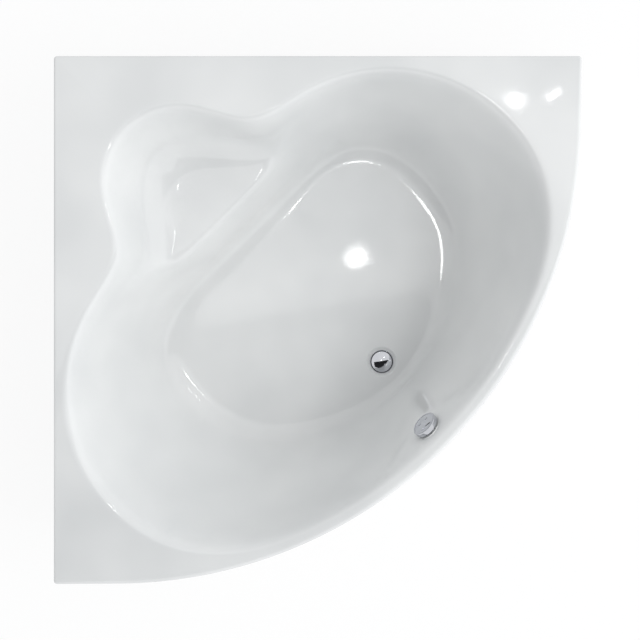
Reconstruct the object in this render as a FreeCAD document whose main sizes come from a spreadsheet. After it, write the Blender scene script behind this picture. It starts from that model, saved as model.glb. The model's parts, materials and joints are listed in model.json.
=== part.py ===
import FreeCAD, Part
import math
import os
import re
import Sketcher

# Corner bath, 1500 x 1500 mm, for a right-angled room corner.
#
# An acrylic shell with a flat rim, a roomy heart-shaped basin, a moulded corner seat and a
# flat pad for the overflow stands on a welded tube frame with five levelling feet. A
# pop-up waste with trap, worked from the overflow knob, hangs below it, and a bowed front
# panel closes the space under the rim.
#
# The frame of the part: the two walls are the planes X = -side/2 and Y = +side/2, the bow
# faces +X and -Y, +Z is up and the floor is Z = 0. Most pieces are laid out in the corner
# frame instead: "out" runs from the wall corner along the diagonal to the middle of the
# bow, "across" runs square to it (to the right-hand lobe), and the height is the same.

# Driving sizes, in millimetres unless the name says degrees.
SIZES = {
    # Rim, seen from above
    "side_length": 1500,
    "plan_side": 1500,
    "bow_start": 175,
    "outline_corner": 10,
    "rim_height": 600,
    "skirt_drop": 35,
    "rim_edge_radius": 8,
    "front_rim_width": 32,
    "shell_thickness": 5,
    "backing_thickness": 2,
    # Lip of the basin: a round niche joined to a rounded kite, cut by the bow
    "niche_out": 506,
    "niche_radius": 221,
    "lobe_out": 1031,
    "lobe_across": 323,
    "lobe_radius": 472,
    "kite_back": 978,
    "kite_front": 1500,
    "niche_blend": 125,
    "bow_blend": 69,
    "lip_radius": 16,
    # Foot of the basin wall, where it would meet the floor without its fillet
    "floor_level": 170,
    "basin_centre": 950,
    "foot_back": 693,
    "foot_half_width": 515,
    "foot_front_centre": 778,
    "foot_front_radius": 620,
    "foot_corner_blend": 250,
    "foot_front_blend": 80,
    "foot_fillet_side": 90,
    "foot_fillet_front": 50,
    "wall_belly": 14,
    "floor_fall": 0.012,
    # Corner seat inside the niche
    "seat_depth": 210,
    "seat_edge": 637,
    "seat_from_wall": 240,
    "seat_corner_blend": 140,
    "seat_bend": 26,
    # Flat pad that carries the overflow
    "pad_rise": 24,
    "pad_foot_depth": 95,
    "pad_top_half_width": 170,
    "pad_foot_half_width": 60,
    "overflow_depth": 54,
    # Tube frame
    "tube_width": 30,
    "tube_wall": 2,
    "corner_foot_out": 150,
    "wing_out": 1060,
    "wing_reach": 930,
    "front_rail_out": 1220,
    "front_rail_reach": 420,
    "deck_plate_width": 70,
    "deck_plate_thickness": 3,
    # Base board under the floor
    "board_back": 780,
    "board_front": 1225,
    "board_half_width": 400,
    "board_corner": 100,
    "board_thickness": 15.7,
    "bond_gap": 0.3,
    "screw_pitch": 330,
    "frame_screw_radius": 2.4,
    "frame_screw_grip": 9,
    "screw_clearance": 0.1,
    # Levelling feet
    "stud_radius": 6,
    "stud_clearance": 0.08,
    "stud_hole_clearance": 0.5,
    "stud_base": 6,
    "stud_reach": 16,
    "weld_nut_height": 12,
    "nut_corner_radius": 11,
    "pad_radius": 24,
    "pad_neck_radius": 16,
    "pad_height": 14,
    "collar_height": 8,
    # Waste
    "drain_out": 1299,
    "recess_radius": 48,
    "recess_flat_radius": 40,
    "recess_depth": 6,
    "boss_radius": 56,
    "boss_drop": 12,
    "waste_hole_radius": 26,
    "flange_radius": 38,
    "flange_thickness": 3,
    "flange_bore_radius": 22,
    "flange_tail_radius": 25.6,
    "flange_tail_length": 36,
    "spider_height": 6,
    "spider_below_flange": 14,
    "spider_hub_radius": 8,
    "plug_radius": 33,
    "plug_edge_height": 2,
    "plug_dome_height": 9,
    "seal_thickness": 2,
    "seal_radius": 31,
    "stem_radius": 4,
    "stem_length": 39,
    "stem_clearance": 0.08,
    "pin_length": 26,
    "pin_guide_rise": 18.5,
    "pin_foot_radius": 7,
    "gasket_thickness": 3,
    "waste_body_radius": 30,
    "waste_body_wall": 3,
    "waste_body_height": 49,
    "waste_flange_radius": 40,
    "waste_flange_height": 5,
    "neck_radius": 24,
    "neck_length": 24,
    "trap_radius": 42,
    "trap_wall": 3,
    "trap_depth": 54,
    "trap_collar_height": 12,
    "neck_grip": 8,
    "trap_nut_radius": 34,
    "trap_nut_height": 20,
    "outlet_radius": 20,
    "outlet_wall": 3,
    "outlet_rise": 31,
    "outlet_reach": 95,
    "outlet_spigot": 40,
    "outlet_collar_radius": 21.5,
    "pipe_clearance": 0.1,
    # Overflow
    "overflow_hole_radius": 29,
    "overflow_seat_radius": 34,
    "overflow_boss_radius": 40,
    "overflow_boss_length": 11,
    "plate_radius": 33,
    "plate_thickness": 3,
    "plate_gap": 0.3,
    "spindle_radius": 5,
    "spindle_clearance": 0.08,
    "overflow_body_radius": 31,
    "overflow_body_length": 26,
    "overflow_flange_radius": 34,
    "drum_radius": 14,
    "drum_thickness": 6,
    "knob_radius": 39,
    "knob_standoff": 5.5,
    "knob_thickness": 13,
    "knob_band": 4.5,
    "knob_groove_width": 1.4,
    "knob_groove_depth": 1.5,
    "knob_dish_radius": 210,
    "grip_length": 40,
    "grip_height": 13,
    "grip_depth": 4,
    "grip_offset": 17,
    "slot_length": 9,
    "slot_width": 2.2,
    # Overflow pipe
    "hose_radius": 12.5,
    "hose_wall": 2.5,
    "hose_drop": 21,
    "hose_bend": 60,
    "spigot_reach": 62,
    "spigot_offset": 5,
    "spigot_drop": 45,
    "hose_nut_radius": 17,
    "hose_nut_height": 24,
    # Front panel
    "panel_inset": 6,
    "panel_thickness": 4,
    "panel_bottom": 12,
    "panel_top_gap": 5,
    "panel_top_return": 10,
    "panel_foot_return": 24,
    "panel_end_gap": 3,
    "clip_width": 40,
    "clip_depth": 5,
    "bracket_across": 250,
    "bracket_width": 25,
    "bracket_thickness": 3,
}

# Levels and places that follow from the sizes, written as expressions.
PLACES = {
    "rim_underside": "rim_height - shell_thickness",
    "basin_depth": "rim_height - floor_level",
    "skin": "shell_thickness + backing_thickness",
    "frame_bottom": "floor_level - skin - bond_gap - board_thickness - tube_width",
    "frame_top": "frame_bottom + tube_width",
    "half_tube": "tube_width / 2",
    "stud_top": "frame_bottom + stud_reach",
    "recess_floor": "floor_level - recess_depth",
    "boss_bottom": "recess_floor - boss_drop",
    "flange_top": "recess_floor + flange_thickness",
    "plug_underside": "flange_top + seal_thickness",
    "stem_bottom": "plug_underside - stem_length",
    "waste_top": "boss_bottom - gasket_thickness",
    "hose_height": "waste_top - hose_drop",
    "trap_collar_top": "waste_top - waste_body_height - neck_length + neck_grip",
    "trap_shoulder": "trap_collar_top - trap_collar_height",
    "trap_bottom": "trap_shoulder - trap_depth",
    "outlet_height": "trap_bottom + outlet_rise",
    "gasket_seat": "overflow_boss_length + gasket_thickness",
    "overflow_back": "gasket_seat + overflow_body_length",
    "panel_inner": "panel_inset + panel_thickness",
    "panel_top": "rim_underside - panel_top_gap",
}

# Sizes in plan that hold for a side of plan_side and grow with the side of the bath.
PLAN_SIZES = """
    niche_out niche_radius lobe_out lobe_across lobe_radius kite_back kite_front basin_centre
    foot_back foot_half_width foot_front_centre foot_front_radius seat_edge seat_from_wall
    corner_foot_out wing_out wing_reach front_rail_out front_rail_reach
    board_back board_front board_half_width drain_out
""".split()

# Shape of the free-form basin: number of columns round it, and how far the columns are
# drawn together at the bow and at the seat, where the shape changes fastest.
COLUMNS = 48
COLUMN_CROWDING = 0.35
WALL_ROWS = 9
SCREW_SPOTS = [("wing_out", "screw_pitch / 2"), ("wing_out", "-screw_pitch / 2"),
               ("wing_out", "screw_pitch"), ("wing_out", "-screw_pitch"),
               ("board_back + board_corner", "0"), ("wing_out - board_corner", "0"),
               ("wing_out + board_corner", "0")]
FOOT_SPOTS = {
    "corner": ("corner_foot_out", "0"),
    "left": ("wing_out", "-wing_reach"),
    "right": ("wing_out", "wing_reach"),
    "front_left": ("front_rail_out", "-front_rail_reach"),
    "front_right": ("front_rail_out", "front_rail_reach"),
}

Vector = FreeCAD.Vector
Rotation = FreeCAD.Rotation
Placement = FreeCAD.Placement
UP = Vector(0, 0, 1)
OUT = Vector(1, 0, 0)
ACROSS = Vector(0, 1, 0)
LAY_OUT = Rotation(UP, OUT)
LAY_ACROSS = Rotation(UP, ACROSS)

doc = FreeCAD.newDocument("corner_bath")
sheet = doc.addObject("Spreadsheet::Sheet", "Sizes")
for row, (alias, value) in enumerate(SIZES.items(), 1):
    sheet.set(f"A{row}", alias)
    sheet.set(f"B{row}", str(value))
    sheet.setAlias(f"B{row}", alias)
doc.recompute()
nodes = []


# ---------------------------------------------------------------- small helpers

def bound(text):
    """Full expression over the sheet, from one written in bare names of sizes and places."""
    def full_name(match):
        name = match[0]
        if name in PLACES:
            return f"({bound(PLACES[name])})"
        if name in PLAN_SIZES:
            return f"(Sizes.{name} * Sizes.side_length / Sizes.plan_side)"
        return f"Sizes.{name}" if name in SIZES else name
    return re.sub(r"[a-z]\w+", full_name, text)


def size(text):
    """Value of such an expression."""
    return float(sheet.evalExpression(bound(text)))


def corner_frame():
    """Placement that carries the corner frame into the frame of the part."""
    half = size("side_length / 2")
    return Placement(Vector(-half, half, 0), Rotation(UP, -45))


def spot(out, across, height, turn=Rotation()):
    """Placement in the corner frame, from three expressions and a rotation."""
    return Placement(Vector(size(out), size(across), size(height)), turn)


def keep(item, label, placement=Placement()):
    """Name a finished sub-part and set it in its place in the corner frame."""
    item.Label = label
    item.Placement = corner_frame().multiply(placement)
    nodes.append(item)
    return item


def add(kind, **expressions):
    """Document object with properties bound to expressions."""
    item = doc.addObject(kind, kind.split("::")[1].lower())
    for name, text in expressions.items():
        item.setExpression(name, bound(text))
    return item


def cylinder(radius, height, placement=Placement()):
    item = add("Part::Cylinder", Radius=radius, Height=height)
    item.Placement = placement
    return item


def box(length, width, height, placement=Placement()):
    item = add("Part::Box", Length=length, Width=width, Height=height)
    item.Placement = placement
    return item


def fused(pieces):
    item = doc.addObject("Part::MultiFuse", "join")
    item.Shapes = pieces
    return item


def cut(base, tools):
    item = doc.addObject("Part::Cut", "cut")
    item.Base = base
    item.Tool = tools[0] if len(tools) == 1 else fused(tools)
    return item


def set_shape(label, shape, placement=Placement()):
    """Sub-part whose form no sketch or primitive gives."""
    item = doc.addObject("Part::Feature", label)
    item.Shape = shape
    return keep(item, label, placement)


def tie_point(sketch, element, which, x_text, y_text):
    """Tie a point of a sketch to the origin by two expressions."""
    for kind, text in (("DistanceX", x_text), ("DistanceY", y_text)):
        number = sketch.addConstraint(Sketcher.Constraint(kind, -1, 1, element, which, size(text)))
        sketch.setExpression(f"Constraints[{number}]", bound(text))


def new_sketch(body, plane):
    sketch = body.newObject("Sketcher::SketchObject", "profile")
    origin = [item for item in body.Origin.OriginFeatures if item.Role == plane]
    sketch.AttachmentSupport = [(origin[0], "")]
    sketch.MapMode = "FlatFace"
    return sketch


def draw_polygon(sketch, corners):
    """Closed polygon through corners, each a pair of expressions."""
    points = [Vector(size(x_text), size(y_text), 0) for x_text, y_text in corners]
    first = sketch.GeometryCount
    count = len(corners)
    for index in range(count):
        sketch.addGeometry(Part.LineSegment(points[index], points[(index + 1) % count]))
    for index in range(count):
        following = first + (index + 1) % count
        sketch.addConstraint(Sketcher.Constraint("Coincident", first + index, 2, following, 1))
    for index, (x_text, y_text) in enumerate(corners):
        tie_point(sketch, first + index, 1, x_text, y_text)


def draw_circle(sketch, x_text, y_text, radius):
    centre = Vector(size(x_text), size(y_text), 0)
    number = sketch.addGeometry(Part.Circle(centre, UP, size(radius)))
    tie_point(sketch, number, 3, x_text, y_text)
    constraint = sketch.addConstraint(Sketcher.Constraint("Radius", number, size(radius)))
    sketch.setExpression(f"Constraints[{constraint}]", bound(radius))


def feature(body, kind, sketch, **settings):
    """Sketch-based feature at the tip of a body; a text setting is an expression."""
    item = body.newObject(f"PartDesign::{kind}", kind.lower())
    item.Profile = sketch
    for name, value in settings.items():
        if isinstance(value, str):
            item.setExpression(name, bound(value))
        else:
            setattr(item, name, value)
    body.Tip = item
    return item


def turned_body(label, corners):
    """Body turned about its upright axis from a half section of (radius, height) corners."""
    body = doc.addObject("PartDesign::Body", label)
    sketch = new_sketch(body, "XZ_Plane")
    draw_polygon(sketch, corners)
    feature(body, "Revolution", sketch, ReferenceAxis=(sketch, ["V_Axis"]), Angle=360.0)
    return body


def padded_body(label, plane, corners, circles, length, midplane=False):
    """Body padded from a polygon with round holes."""
    body = doc.addObject("PartDesign::Body", label)
    sketch = new_sketch(body, plane)
    draw_polygon(sketch, corners)
    for circle in circles:
        draw_circle(sketch, *circle)
    feature(body, "Pad", sketch, Length=length, Midplane=midplane)
    return body


def round_edges(body, radius, chosen):
    """Fillet on the edges of a body's tip that a test picks."""
    doc.recompute()
    base = body.Tip
    names = [f"Edge{index}" for index, edge in enumerate(base.Shape.Edges, 1) if chosen(edge)]
    fillet = body.newObject("PartDesign::Fillet", "fillet")
    fillet.Base = (base, names)
    fillet.setExpression("Radius", bound(radius))
    body.Tip = fillet


def rectangle(half_x, half_y):
    """Corners of a centred rectangle from two expressions."""
    return [(f"-{half_x}", f"-{half_y}"), (half_x, f"-{half_y}"),
            (half_x, half_y), (f"-{half_x}", half_y)]


# ---------------------------------------------------------------- plan of the basin

def smooth_min(first, second, blend):
    """Lesser of two lengths, rounded where they differ by less than the blend."""
    overlap = max(blend - abs(first - second), 0) / blend
    return min(first, second) - overlap * overlap * blend / 4


def smooth_step(value):
    """0 below 0, 1 above 1, and a smooth rise between."""
    value = min(max(value, 0), 1)
    return value * value * (3 - 2 * value)


class BasinPlan:
    """Outlines of the basin in the corner frame, each as a depth inside its edge."""

    def __init__(self):
        for name in [*SIZES, "basin_depth"]:
            setattr(self, name, size(name))
        self.bow_centre = self.bow_start * math.sqrt(2)
        self.bow_radius = self.side_length - self.bow_start

    def lobes(self, out, across):
        """Depth inside the rounded kite that holds both lobes."""
        def gap_to_side(tip):
            run = self.lobe_out - tip
            square = run ** 2 + self.lobe_across ** 2
            share = ((out - tip) * run + across * self.lobe_across) / square
            share = min(max(share, 0), 1)
            return math.hypot(out - tip - share * run, across - share * self.lobe_across)

        rise = across / self.lobe_across
        back = self.kite_back + (self.lobe_out - self.kite_back) * rise
        front = self.kite_front + (self.lobe_out - self.kite_front) * rise
        if rise <= 1 and back <= out <= front:
            return self.lobe_radius
        return self.lobe_radius - min(gap_to_side(self.kite_back), gap_to_side(self.kite_front))

    def lip(self, out, across):
        """Depth inside the lip of the basin."""
        across = abs(across)
        niche = self.niche_radius - math.hypot(out - self.niche_out, across)
        both = -smooth_min(-niche, -self.lobes(out, across), self.niche_blend)
        bow_lip = self.bow_radius - self.front_rim_width
        bow = bow_lip - math.hypot(out - self.bow_centre, across)
        return smooth_min(both, bow, self.bow_blend)

    def foot(self, out, across):
        """Depth inside the line where the wall would meet the floor."""
        across = abs(across)
        sides = smooth_min(out - self.foot_back, self.foot_half_width - across,
                           self.foot_corner_blend)
        bow = self.foot_front_radius - math.hypot(out - self.foot_front_centre, across)
        return smooth_min(sides, bow, self.foot_front_blend)

    def reach(self, outline, angle, inset=0):
        """Distance from the basin centre to an outline, at an angle from the bow."""
        def depth(radius):
            out = self.basin_centre + radius * math.cos(angle)
            return outline(out, radius * math.sin(angle)) - inset

        step = 10
        far = step
        while depth(far) > 0:
            far += step
        near = far - step
        while far - near > 1e-6:
            middle = (near + far) / 2
            if depth(middle) > 0:
                near = middle
            else:
                far = middle
        return near

    def wall_rows(self, top, foot, fillet):
        """(radius, depth) of the control points of a plain wall, lip to floor."""
        share = fillet / math.hypot(top - foot, self.basin_depth)
        start = 0.06
        rows = []
        for index in range(WALL_ROWS):
            fall = start + (1 - share - start) * index / (WALL_ROWS - 1)
            belly = self.wall_belly * math.sin(math.pi * fall)
            rows.append((top + (foot - top) * fall + belly, self.basin_depth * fall))
        turn = 0.3
        rows.append((foot + (top - foot) * turn * share, self.basin_depth * (1 - turn * share)))
        rows.append((foot - turn * fillet, self.basin_depth))
        return rows

    def seat_back(self, out, across):
        """Depth inside the back of the seat, which follows both room walls round a corner."""
        along_top = (out + across) / math.sqrt(2) - self.seat_from_wall
        along_left = (out - across) / math.sqrt(2) - self.seat_from_wall
        return smooth_min(along_top, along_left, self.seat_corner_blend)

    def seat_rows(self, top, foot, fillet, edge, wall_foot):
        """(radius, depth) of the control points over the seat, as many as a plain wall has."""
        bend = min(self.seat_bend, (wall_foot - edge) / 2)
        seat = self.seat_depth
        riser = edge - bend / 2
        rows = [(top + (wall_foot - top) * fall, seat * fall) for fall in (0.2, 0.65)]
        rows.append((wall_foot + bend / 3, seat - bend))
        rows.append((wall_foot - bend, seat))
        rows.append((edge + (wall_foot - edge) * 0.4, seat))
        rows.append((edge + bend * 0.6, seat + 1))
        rows.append((edge - 3, seat + 4))
        rows.append((riser, seat + bend))
        rows.append((riser + (foot - riser) * 0.6, seat + (self.basin_depth - seat) * 0.6))
        rows.append((foot + bend / 3, self.basin_depth - bend))
        rows.append((foot - 0.3 * fillet, self.basin_depth))
        return rows

    def pad_shift(self, angle, radius, depth):
        """How far the overflow pad stands in from the plain wall."""
        if math.cos(angle) <= 0:
            return 0
        down = depth / self.pad_foot_depth
        below = (depth - self.pad_foot_depth) / (self.basin_depth - self.pad_foot_depth)
        rise = self.pad_rise * (down if down < 1 else 1 - below)
        narrowing = (self.pad_top_half_width - self.pad_foot_half_width) * min(down, 1)
        half_width = self.pad_top_half_width - narrowing
        beyond = abs(radius * math.sin(angle)) - half_width
        return rise * smooth_step(1 - beyond / self.pad_foot_half_width)

    def column(self, angle):
        """Control points of the basin's inner face at one angle from the bow."""
        away = abs(math.pi - angle % (2 * math.pi))
        from_bow = math.pi - away
        seat_edge, seat_share = 0, 0
        if away < math.radians(60):
            seat_edge = (self.basin_centre - self.seat_edge) / math.cos(away)
            wall_foot = self.reach(self.seat_back, angle)
            seat_share = smooth_step((wall_foot - seat_edge) / (3 * self.seat_bend))
        growth = smooth_step(from_bow / math.radians(60))
        fillet = self.foot_fillet_front
        fillet += (self.foot_fillet_side - self.foot_fillet_front) * growth
        lip = self.reach(self.lip, angle)
        top = self.reach(self.lip, angle, self.lip_radius * 0.75)
        foot = self.reach(self.foot, angle)
        rows = self.wall_rows(top, foot, fillet)
        if seat_share > 0:
            seat_rows = self.seat_rows(top, foot, fillet, seat_edge, wall_foot)
            rows = [(plain[0] + (seat[0] - plain[0]) * seat_share,
                     plain[1] + (seat[1] - plain[1]) * seat_share)
                    for plain, seat in zip(rows, seat_rows)]
        roll = [(lip + self.lip_radius, 0), (lip + self.lip_radius * 0.3, 0),
                (self.reach(self.lip, angle, self.lip_radius * 0.35), self.lip_radius * 0.2)]
        floor = [(foot - fillet, self.basin_depth), (foot - 1.4 * fillet, self.basin_depth)]
        points = []
        for radius, depth in roll + rows + floor:
            radius -= self.pad_shift(angle, radius, depth)
            out = self.basin_centre + radius * math.cos(angle)
            fall = self.floor_fall * (out - self.drain_out) * depth / self.basin_depth
            height = self.rim_height - depth - fall
            points.append(Vector(out, radius * math.sin(angle), height))
        return points

    def net(self):
        """Control net of the inner face, column by column round the basin."""
        angles = []
        for index in range(COLUMNS):
            even = 2 * math.pi * index / COLUMNS
            angles.append(even - COLUMN_CROWDING * math.sin(2 * even) / 2)
        return [self.column(angle) for angle in angles]


def offset_net(net, distance):
    """Control net shifted outward, square to the face; the flat end rows move straight down."""
    columns, rows = len(net), len(net[0])
    shifted = []
    for column in range(columns):
        points = []
        for row in range(rows):
            normal = UP
            if 1 < row < rows - 2:
                along = net[(column + 1) % columns][row] - net[column - 1][row]
                down = net[column][row + 1] - net[column][row - 1]
                normal = down.cross(along).normalize()
                if normal.z < 0:
                    normal = -normal
            points.append(net[column][row] - normal * distance)
        shifted.append(points)
    return shifted


def smooth_face(net):
    """Cubic face over a control net, closed round the basin."""
    columns, rows = len(net), len(net[0])
    degree = 3
    surface = Part.BSplineSurface()
    ends = [degree + 1] + [1] * (rows - degree - 1) + [degree + 1]
    surface.buildFromPolesMultsKnots(net, [1] * (columns + 1), ends,
                                     list(range(columns + 1)), list(range(rows - degree + 1)),
                                     True, False, degree, degree)
    return surface


# ---------------------------------------------------------------- tub shell

def plan_point(along_top, along_left, height):
    """Point of the corner frame from its distances along the two walls."""
    root = math.sqrt(2)
    return Vector((along_top + along_left) / root, (along_top - along_left) / root, height)


def front_path(inset, height, end):
    """Edges of the front line at an inset: straight, bow, straight, from wall to wall."""
    start = size("bow_start")
    far = size("side_length") - inset
    middle = start + (far - start) / math.sqrt(2)
    points = [plan_point(far, end, height), plan_point(far, start, height),
              plan_point(middle, middle, height), plan_point(start, far, height),
              plan_point(end, far, height)]
    return [Part.LineSegment(points[0], points[1]).toShape(),
            Part.Arc(points[1], points[2], points[3]).toShape(),
            Part.LineSegment(points[3], points[4]).toShape()]


def rim_outline(inset, height):
    """Closed outline of the rim at an inset, with its rounded corners."""
    radius = size("outline_corner") - inset
    near, far = inset, size("side_length") - inset
    chord = radius * (1 - 1 / math.sqrt(2))

    def arc(first, middle, last):
        return Part.Arc(*[plan_point(*point, height) for point in (first, middle, last)]).toShape()

    def line(first, last):
        return Part.LineSegment(*[plan_point(*point, height) for point in (first, last)]).toShape()

    edges = [arc((near, near + radius), (near + chord, near + chord), (near + radius, near)),
             line((near + radius, near), (far - radius, near)),
             arc((far - radius, near), (far - chord, near + chord), (far, near + radius)),
             *front_path(inset, height, near + radius),
             arc((near + radius, far), (near + chord, far - chord), (near, far - radius)),
             line((near, far - radius), (near, near + radius))]
    return Part.Wire(Part.__sortEdges__(edges))


def rim_block(inset, bottom, top, edge_radius):
    """Block inside the rim outline with its upper edge rounded."""
    block = Part.Face(rim_outline(inset, bottom)).extrude(UP * (top - bottom))
    upper = [edge for edge in block.Edges if abs(edge.BoundBox.ZMin - top) < 1e-3]
    return block.makeFillet(edge_radius, upper)


def level_face(face, height):
    return face.BoundBox.ZLength < 1e-3 and abs(face.BoundBox.ZMin - height) < 1e-3


def with_hole(face, hole):
    return Part.makeFace([face.OuterWire, hole], "Part::FaceMakerBullseye")


def shell_skin(plan):
    """Rim tray and basin sewn into one solid of even thickness."""
    top, underside = size("rim_height"), size("rim_underside")
    thickness = size("shell_thickness")
    bottom = top - size("skirt_drop")
    edge_radius = size("rim_edge_radius")
    tray = rim_block(0, bottom, top, edge_radius)
    tray = tray.cut(rim_block(thickness, bottom, underside, edge_radius - thickness))
    deck = [face for face in tray.Faces if level_face(face, top)][0]
    soffit = [face for face in tray.Faces if level_face(face, underside)][0]
    faces = [face for face in tray.Faces
             if not level_face(face, top) and not level_face(face, underside)]

    net = plan.net()
    basin = smooth_face(net).toShape()
    rings = [Part.Wire([edge]) for edge in basin.Edges if edge.isClosed()]
    rings.sort(key=lambda ring: ring.BoundBox.ZMax)
    faces += [basin, with_hole(deck, rings[-1]), Part.Face(rings[0])]

    back_net = offset_net(net, size("skin"))
    rim_row = [Vector(column[0].x, column[0].y, underside) for column in net]
    back_rows = [rim_row]
    for row in range(3, len(net[0]) - 1):
        back_rows.append([column[row] for column in back_net])
    loops = [Part.makePolygon(row + [row[0]]) for row in back_rows]
    for upper, lower in zip(loops, loops[1:]):
        faces += [Part.makeRuledSurface(*pair) for pair in zip(upper.Edges, lower.Edges)]
    faces += [with_hole(soffit, loops[0]), Part.Face(loops[-1])]

    skin = Part.Compound(faces)
    skin.sewShape(1e-3)
    solid = Part.Solid(skin.Shells[0])
    if solid.Volume < 0:
        solid.reverse()
    return solid


def overflow_seat(plan):
    """Placement of the overflow: its origin on the basin wall, its Z square to the wall."""
    surface = smooth_face(plan.net())
    wanted = plan.rim_height - plan.overflow_depth
    high, low = surface.bounds()[2:]
    while low - high > 1e-6:
        middle = (high + low) / 2
        if surface.value(0, middle).z > wanted:
            high = middle
        else:
            low = middle
    point = surface.value(0, high)
    normal = surface.normal(0, high)
    if normal.z < 0:
        normal = -normal
    normal.y = 0
    normal.normalize()
    upslope = ACROSS.cross(normal) * -1
    if upslope.z < 0:
        upslope = -upslope
    side = upslope.cross(normal)
    turn = Rotation(side, upslope, normal, "ZYX")
    return Placement(Vector(point.x, 0, point.z), turn)


def make_tub_shell(plan, seat):
    """Shell with its waste boss and overflow boss, bored for both fittings."""
    skin = doc.addObject("Part::Feature", "skin")
    skin.Shape = shell_skin(plan)
    reach_into_skin = 4
    drain_boss = cylinder("boss_radius", f"boss_drop + recess_depth - {reach_into_skin}",
                          spot("drain_out", "0", "boss_bottom"))
    flat_boss = cylinder("overflow_boss_radius", "overflow_boss_length",
                         seat.multiply(spot("0", "0", "-overflow_boss_length")))
    recess = add("Part::Cone", Radius1="recess_flat_radius", Height="2 * recess_depth",
                 Radius2="2 * recess_radius - recess_flat_radius")
    recess.Placement = spot("drain_out", "0", "recess_floor")
    waste_hole = cylinder("waste_hole_radius", "4 * boss_drop",
                          spot("drain_out", "0", "boss_bottom - boss_drop"))
    spot_face = cylinder("overflow_seat_radius", "overflow_boss_length", seat)
    overflow_hole = cylinder("overflow_hole_radius", "4 * overflow_boss_length",
                             seat.multiply(spot("0", "0", "-2 * overflow_boss_length")))
    shell = cut(fused([skin, drain_boss, flat_boss]),
                [recess, waste_hole, spot_face, overflow_hole])
    keep(shell, "tub_shell")


# ---------------------------------------------------------------- frame, board and feet

def screw_holes(near):
    """Screw holes through a rail, for the screw spots that lie on it."""
    radius = "frame_screw_radius + screw_clearance"
    holes = []
    for out, across in SCREW_SPOTS:
        if near(size(out), size(across)):
            holes.append(cylinder(radius, "2 * tube_width",
                                  spot(out, across, "frame_bottom - half_tube")))
    return holes


def make_rail(label, length, placement, holes):
    """Square tube along its own Z, with holes cut in the corner frame."""
    body = doc.addObject("PartDesign::Body", f"{label}_tube")
    sketch = new_sketch(body, "XY_Plane")
    draw_polygon(sketch, rectangle("tube_width / 2", "tube_width / 2"))
    inner = "(tube_width / 2 - tube_wall)"
    draw_polygon(sketch, rectangle(inner, inner))
    feature(body, "Pad", sketch, Length=length)
    if not holes:
        keep(body, label, placement)
        return
    body.Placement = placement
    keep(cut(body, holes), label)


def stud_hole(foot):
    """Hole in the lower wall of a rail for the stud of a foot."""
    out, across = FOOT_SPOTS[foot]
    return cylinder("stud_radius + stud_hole_clearance", "half_tube",
                    spot(out, across, "frame_bottom - 1"))


def make_frame():
    rail_axis = "frame_bottom + half_tube"
    make_rail("wing_rail", "2 * wing_reach + tube_width",
              spot("wing_out", "-wing_reach - half_tube", rail_axis, LAY_ACROSS),
              [stud_hole("left"), stud_hole("right")]
              + screw_holes(lambda out, across: out == size("wing_out")))
    make_rail("front_rail", "2 * front_rail_reach + tube_width",
              spot("front_rail_out", "-front_rail_reach - half_tube", rail_axis, LAY_ACROSS),
              [stud_hole("front_left"), stud_hole("front_right")])
    make_rail("spine_rear", "wing_out - corner_foot_out",
              spot("corner_foot_out - half_tube", "0", rail_axis, LAY_OUT),
              [stud_hole("corner")] + screw_holes(lambda out, across: out < size("wing_out")))
    make_rail("spine_front", "front_rail_out - wing_out - tube_width",
              spot("wing_out + half_tube", "0", rail_axis, LAY_OUT),
              screw_holes(lambda out, across: out > size("wing_out")))
    for foot in ("corner", "left", "right"):
        out, across = FOOT_SPOTS[foot]
        make_rail(f"{foot}_post", "rim_underside - deck_plate_thickness - frame_top",
                  spot(out, across, "frame_top"), [])


def make_deck_plates():
    """Square plates on the posts, bonded under the rim."""
    plates = []
    for foot in ("corner", "left", "right"):
        out, across = FOOT_SPOTS[foot]
        corner = spot(f"{out} - deck_plate_width / 2", f"{across} - deck_plate_width / 2",
                      "rim_underside - deck_plate_thickness")
        plates.append(box("deck_plate_width", "deck_plate_width", "deck_plate_thickness", corner))
    keep(fused(plates), "deck_plates")


def make_base_board():
    """Wedge-shaped board between the frame and the falling floor, with rounded corners."""
    def top(out):
        return f"floor_level - floor_fall * ({out} - drain_out) - skin - bond_gap - frame_top"

    corners = [("board_back", "0"), ("board_front", "0"),
               ("board_front", top("board_front")), ("board_back", top("board_back"))]
    body = padded_body("board_blank", "XZ_Plane", corners, [], "2 * board_half_width", midplane=True)
    round_edges(body, "board_corner",
                lambda edge: edge.BoundBox.XLength < 1e-6 and edge.BoundBox.YLength < 1e-6)
    body.Placement = spot("0", "0", "frame_top")
    radius = "frame_screw_radius + screw_clearance / 2"
    holes = [cylinder(radius, "frame_screw_grip + 1", spot(out, across, "frame_top - 1"))
             for out, across in SCREW_SPOTS]
    keep(cut(body, holes), "base_board")


def make_frame_screws():
    """Pan-head screws up through the rails into the board."""
    screws = []
    head_height = "frame_screw_radius * 1.2"
    for out, across in SCREW_SPOTS:
        head = cylinder("frame_screw_radius * 2", head_height,
                        spot(out, across, f"frame_bottom - {head_height}"))
        shank = cylinder("frame_screw_radius", f"tube_width + frame_screw_grip + {head_height} / 2",
                         spot(out, across, f"frame_bottom - {head_height} / 2"))
        screws += [head, shank]
    keep(fused(screws), "frame_screws")


def make_weld_nuts():
    """Hexagon nuts welded under the rails, one for each foot."""
    blanks = []
    bores = []
    for out, across in FOOT_SPOTS.values():
        blank = add("Part::Prism", Circumradius="nut_corner_radius", Height="weld_nut_height")
        blank.Polygon = 6
        blank.Placement = spot(out, across, "frame_bottom - weld_nut_height")
        blanks.append(blank)
        bores.append(cylinder("stud_radius + stud_clearance", "2 * weld_nut_height",
                              spot(out, across, "frame_bottom - 1.5 * weld_nut_height")))
    keep(cut(fused(blanks), bores), "weld_nuts")


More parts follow.
